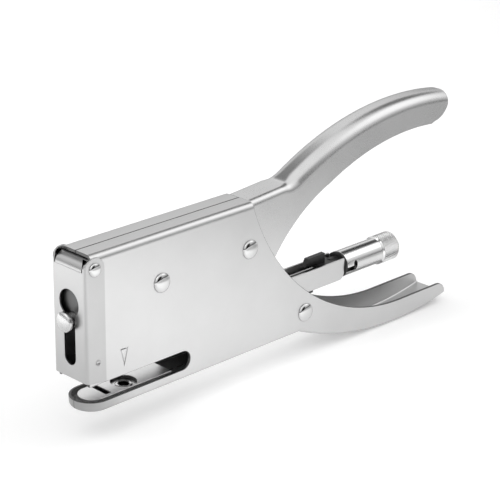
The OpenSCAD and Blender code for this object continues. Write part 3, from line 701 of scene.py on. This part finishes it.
# node: body, material, slot, and the round on its edges in millimetres
REFINED = {
    "nose_cover": ("frame", "cover_nickel", "satin_nickel", 0.12),
    "anvil_plate": ("frame", "anvil_steel", "anvil_steel", 0.18),
    "anvil_eyelet": ("frame", "eyelet_steel", "anvil_steel", 0.05),
    "driver_guide": ("frame", "ground_steel", "ground_steel", 0.15),
    "magazine_channel": ("frame", "satin_nickel", "satin_nickel", 0.12),
    "magazine_lid": ("frame", "inner_steel", "inner_steel", 0.12),
    "staple_rail": ("frame", "inner_steel", "inner_steel", 0.1),
    "magazine_bracket": ("frame", "inner_steel", "inner_steel", 0.15),
    "magazine_foot": ("frame", "dark_steel", "dark_steel", 0.2),
    "spring_seat": ("frame", "inner_steel", "inner_steel", 0.1),
    "rocker_spacers": ("frame", "inner_steel", "inner_steel", 0.15),
    "frame_spacer": ("frame", "inner_steel", "inner_steel", 0.15),
    "bayonet_plug": ("frame", "dark_steel", "dark_steel", 0.04),
    "handle_spacer": ("handle", "inner_steel", "inner_steel", 0.15),
    "link_pin": ("handle", "ground_steel", "ground_steel", 0.15),
    "rocker_lever": ("rocker", "lever_steel", "lever_steel", 0.3),
    "rocker_bush": ("rocker", "bush_brass", "bush_brass", 0.15),
    "driver_carriage": ("driver", "lever_steel", "lever_steel", 0.2),
    "drive_pin": ("driver", "ground_steel", "ground_steel", 0.15),
    "driver_blade": ("driver", "ground_steel", "ground_steel", 0.1),
    "blade_rivets": ("driver", "ground_steel", "ground_steel", 0.1),
    "guide_rod": ("loader", "ground_steel", "ground_steel", 0.15),
    "rod_stop": ("loader", "ground_steel", "ground_steel", 0.1),
    "rod_washer": ("loader", "ground_steel", "ground_steel", 0.15),
    "follower": ("pusher", "ground_steel", "ground_steel", 0.2),
    "bayonet_sleeve": ("bayonet", "turned_nickel", "turned_nickel", 0.12),
    "bayonet_pin": ("frame", "dark_steel", "dark_steel", 0.1),
}
for node, (body, material, slot, round_mm) in REFINED.items():
    refined(node, body, material, round_mm)


def coil(node, body, start, axis, side, length, mean_r, wire_r, turns):
    """A round-wire spring from start along axis."""
    bm = bmesh.new()
    other = axis.cross(side)
    around, steps_per_turn = 10, 28
    # the end turns lie closed, each with this share of an even turn's rise
    end_turn, closed = 1.0 / turns, 0.3
    open_rise = (1 - 2 * closed * end_turn) / (1 - 2 * end_turn)
    steps = turns * steps_per_turn
    rings = []
    for i in range(steps + 1):
        t = i / steps
        a = 2 * math.pi * turns * t
        wound = closed * (min(t, end_turn) + max(0.0, t - (1 - end_turn)))
        free = max(0.0, min(t, 1 - end_turn) - end_turn)
        rise = wire_r + (wound + free * open_rise) * (length - 2 * wire_r)
        radial = side * math.cos(a) + other * math.sin(a)
        centre = start + axis * rise + radial * mean_r
        ring = []
        for k in range(around):
            b = 2 * math.pi * k / around
            p = centre + radial * (wire_r * math.cos(b)) + axis * (wire_r * math.sin(b))
            ring.append(bm.verts.new(p * MM))
        rings.append(ring)
    for one, two in zip(rings, rings[1:]):
        for k in range(around):
            n = (k + 1) % around
            bm.faces.new((one[k], one[n], two[n], two[k]))
    bm.faces.new(rings[0])
    bm.faces.new(rings[-1])
    bmesh.ops.recalc_face_normals(bm, faces=bm.faces)
    mesh = mesh_from(bm, node + "_coil")
    mesh.set_sharp_from_angle(angle=math.radians(50))
    piece = add_piece(node + "_coil", mesh, body, "spring_steel", [node])
    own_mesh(piece)


coil("return_spring", "frame", start=Vector((9, 0, 18.9)),
     axis=Vector((0, 0, 1)), side=Vector((1, 0, 0)), length=12.0, mean_r=2.5,
     wire_r=0.42, turns=6)
coil("pusher_spring", "loader", start=Vector((9.0, 0, ROD_Z)),
     axis=Vector((1, 0, 0)), side=Vector((0, 1, 0)), length=51.3, mean_r=1.35,
     wire_r=0.2, turns=26)


# ---------------------------------------------------------------- floor, light and camera

def stage_floor():
    """A pale floor with painted light and shade: it glows like a light table, brighter and darker
    where the photograph's metal reflects it so."""
    bm = bmesh.new()
    bmesh.ops.create_circle(bm, cap_ends=True, radius=6.0, segments=96)
    mesh = bpy.data.meshes.new("floor")
    bm.to_mesh(mesh)
    bm.free()
    floor = bpy.data.objects.new("floor", mesh)
    scene.collection.objects.link(floor)
    floor.location.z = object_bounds()[0][2] - 0.0001
    m, tree, bsdf = shader("floor_paint")
    coords = tree.nodes.new("ShaderNodeTexCoord")
    right, away = (0.7071, -0.7071, 0), (0.7071, 0.7071, 0)

    def along(direction, low, high):
        """0 to 1 across the floor, from low to high metres along a direction."""
        dot = vector_math(tree, "DOT_PRODUCT", coords.outputs["Object"], direction)
        return share(tree, dot.outputs["Value"], low, high)

    # the paint: pale, with a fine grain, and painted shade, greyer, in a soft patch to the right
    grain = noise(tree, coords, (1, 1, 1), 0.6, 3.0, 0.6)
    paint = ramp(tree, grain, [(0.3, 0.87), (0.7, 0.90)])
    reach = ramp(tree, along(right, 0.12, 0.28), [(0.1, 0.0), (0.8, 1.0)], True)
    band = ramp(tree, along(away, -0.4, 0.5), [(0.0, 0.0), (0.35, 1.0), (0.58, 1.0), (0.85, 0.0)],
                True)
    patch = mix_colours(tree, 1.0, reach, band, "MULTIPLY")
    shade = ramp(tree, patch, [(0.0, 1.0), (1.0, 0.58)])
    tree.links.new(mix_colours(tree, 1.0, paint, shade, "MULTIPLY"), bsdf.inputs["Base Color"])
    bsdf.inputs["Roughness"].default_value = 0.9
    bsdf.inputs["Emission Color"].default_value = (1, 1, 1, 1)
    # the glow, painted light: strong to the left and in front, fading to the back and right
    left_glow = ramp(tree, along(right, -0.2, 0.1), [(0.05, 1.0), (0.5, 0.16), (0.8, 0.25)])
    front_glow = ramp(tree, along(away, -0.05, 0.1),
                      [(0.2, 0.72), (0.5, 0.52), (0.67, 0.34), (0.95, 0.16)])
    near = ramp(tree, along(right, 0.13, 0.22), [(0.0, 1.0), (1.0, 0.35)], True)
    right_glow = mix_colours(tree, 1.0, front_glow, near, "MULTIPLY")
    side = ramp(tree, along(right, 0.02, 0.08), [(0.0, 0.0), (1.0, 1.0)])
    tree.links.new(mix_colours(tree, side, left_glow, right_glow),
                   bsdf.inputs["Emission Strength"])
    mesh.materials.append(m)


def studio_world():
    """Soft light from all round, dim at the horizon, with three dark flags."""
    world = bpy.data.worlds.new("studio")
    world.use_nodes = True
    scene.world = world
    tree = world.node_tree
    back = tree.nodes["Background"]
    coords = tree.nodes.new("ShaderNodeTexCoord")
    toward_sky = coords.outputs["Generated"]
    light = ramp(tree, split_xyz(tree, toward_sky)["Z"],
                 [(0.0, 0.12), (0.10, 0.24), (0.26, 0.66), (0.42, 0.84), (0.62, 1.0)])
    # each flag: direction, cosines where it starts and is full, and what it lets through
    flags = (((0.0, -0.958, 0.287), 0.88, 0.95, 0.06),      # in front, low: in the rivets
             ((0.0, 0.657, 0.754), 0.93, 0.98, 0.10),       # behind, high: past the fold
             ((0.66, 0.293, 0.692), 0.945, 0.98, 0.06))     # right, high: on the sleeve
    for toward, start, full, through in flags:
        dot = vector_math(tree, "DOT_PRODUCT", toward_sky, toward)
        flag = ramp(tree, dot.outputs["Value"], [(start, 1.0), (full, through)])
        light = mix_colours(tree, 1.0, light, flag, "MULTIPLY")
    tree.links.new(light, back.inputs["Color"])
    back.inputs["Strength"].default_value = 1.2


def area_light(name, at, target, size, power):
    light = bpy.data.lights.new(name, "AREA")
    light.shape = "DISK"
    light.size = size
    light.energy = power
    lamp = bpy.data.objects.new(name, light)
    lamp.location = at
    lamp.rotation_euler = (Vector(target) - Vector(at)).to_track_quat("-Z", "Y").to_euler()
    scene.collection.objects.link(lamp)


def photo_camera():
    """The photograph's camera. Its lens is 1845 pixels long in a frame 500 pixels wide."""
    focal_px, frame_px, sensor_mm = 1845, 500, 36
    camera = bpy.data.objects.new("camera", bpy.data.cameras.new("camera"))
    scene.collection.objects.link(camera)
    right = Vector((0.7086348, -0.7054889, 0.0110543))
    up = Vector((0.2494632, 0.2651692, 0.9313718))
    forward = Vector((0.6600037, 0.6572448, -0.3639016))
    turn = Matrix((right, up, -forward)).transposed().to_4x4()
    camera.matrix_world = Matrix.Translation((-0.31366, -0.37261, 0.23687)) @ turn
    camera.data.sensor_width = sensor_mm
    camera.data.lens = focal_px / frame_px * sensor_mm
    camera.data.clip_start = 0.01
    camera.data.clip_end = 20
    scene.camera = camera


stage_floor()
studio_world()
area_light("top_softbox", (0.78, -0.40, 0.76), (0.05, 0, 0.03), 0.7, 0.7)
area_light("left_softbox", (-0.6, 0.1, 0.9), (0.0, 0, 0.02), 0.8, 1.2)
photo_camera()
scene.view_settings.view_transform = "Standard"
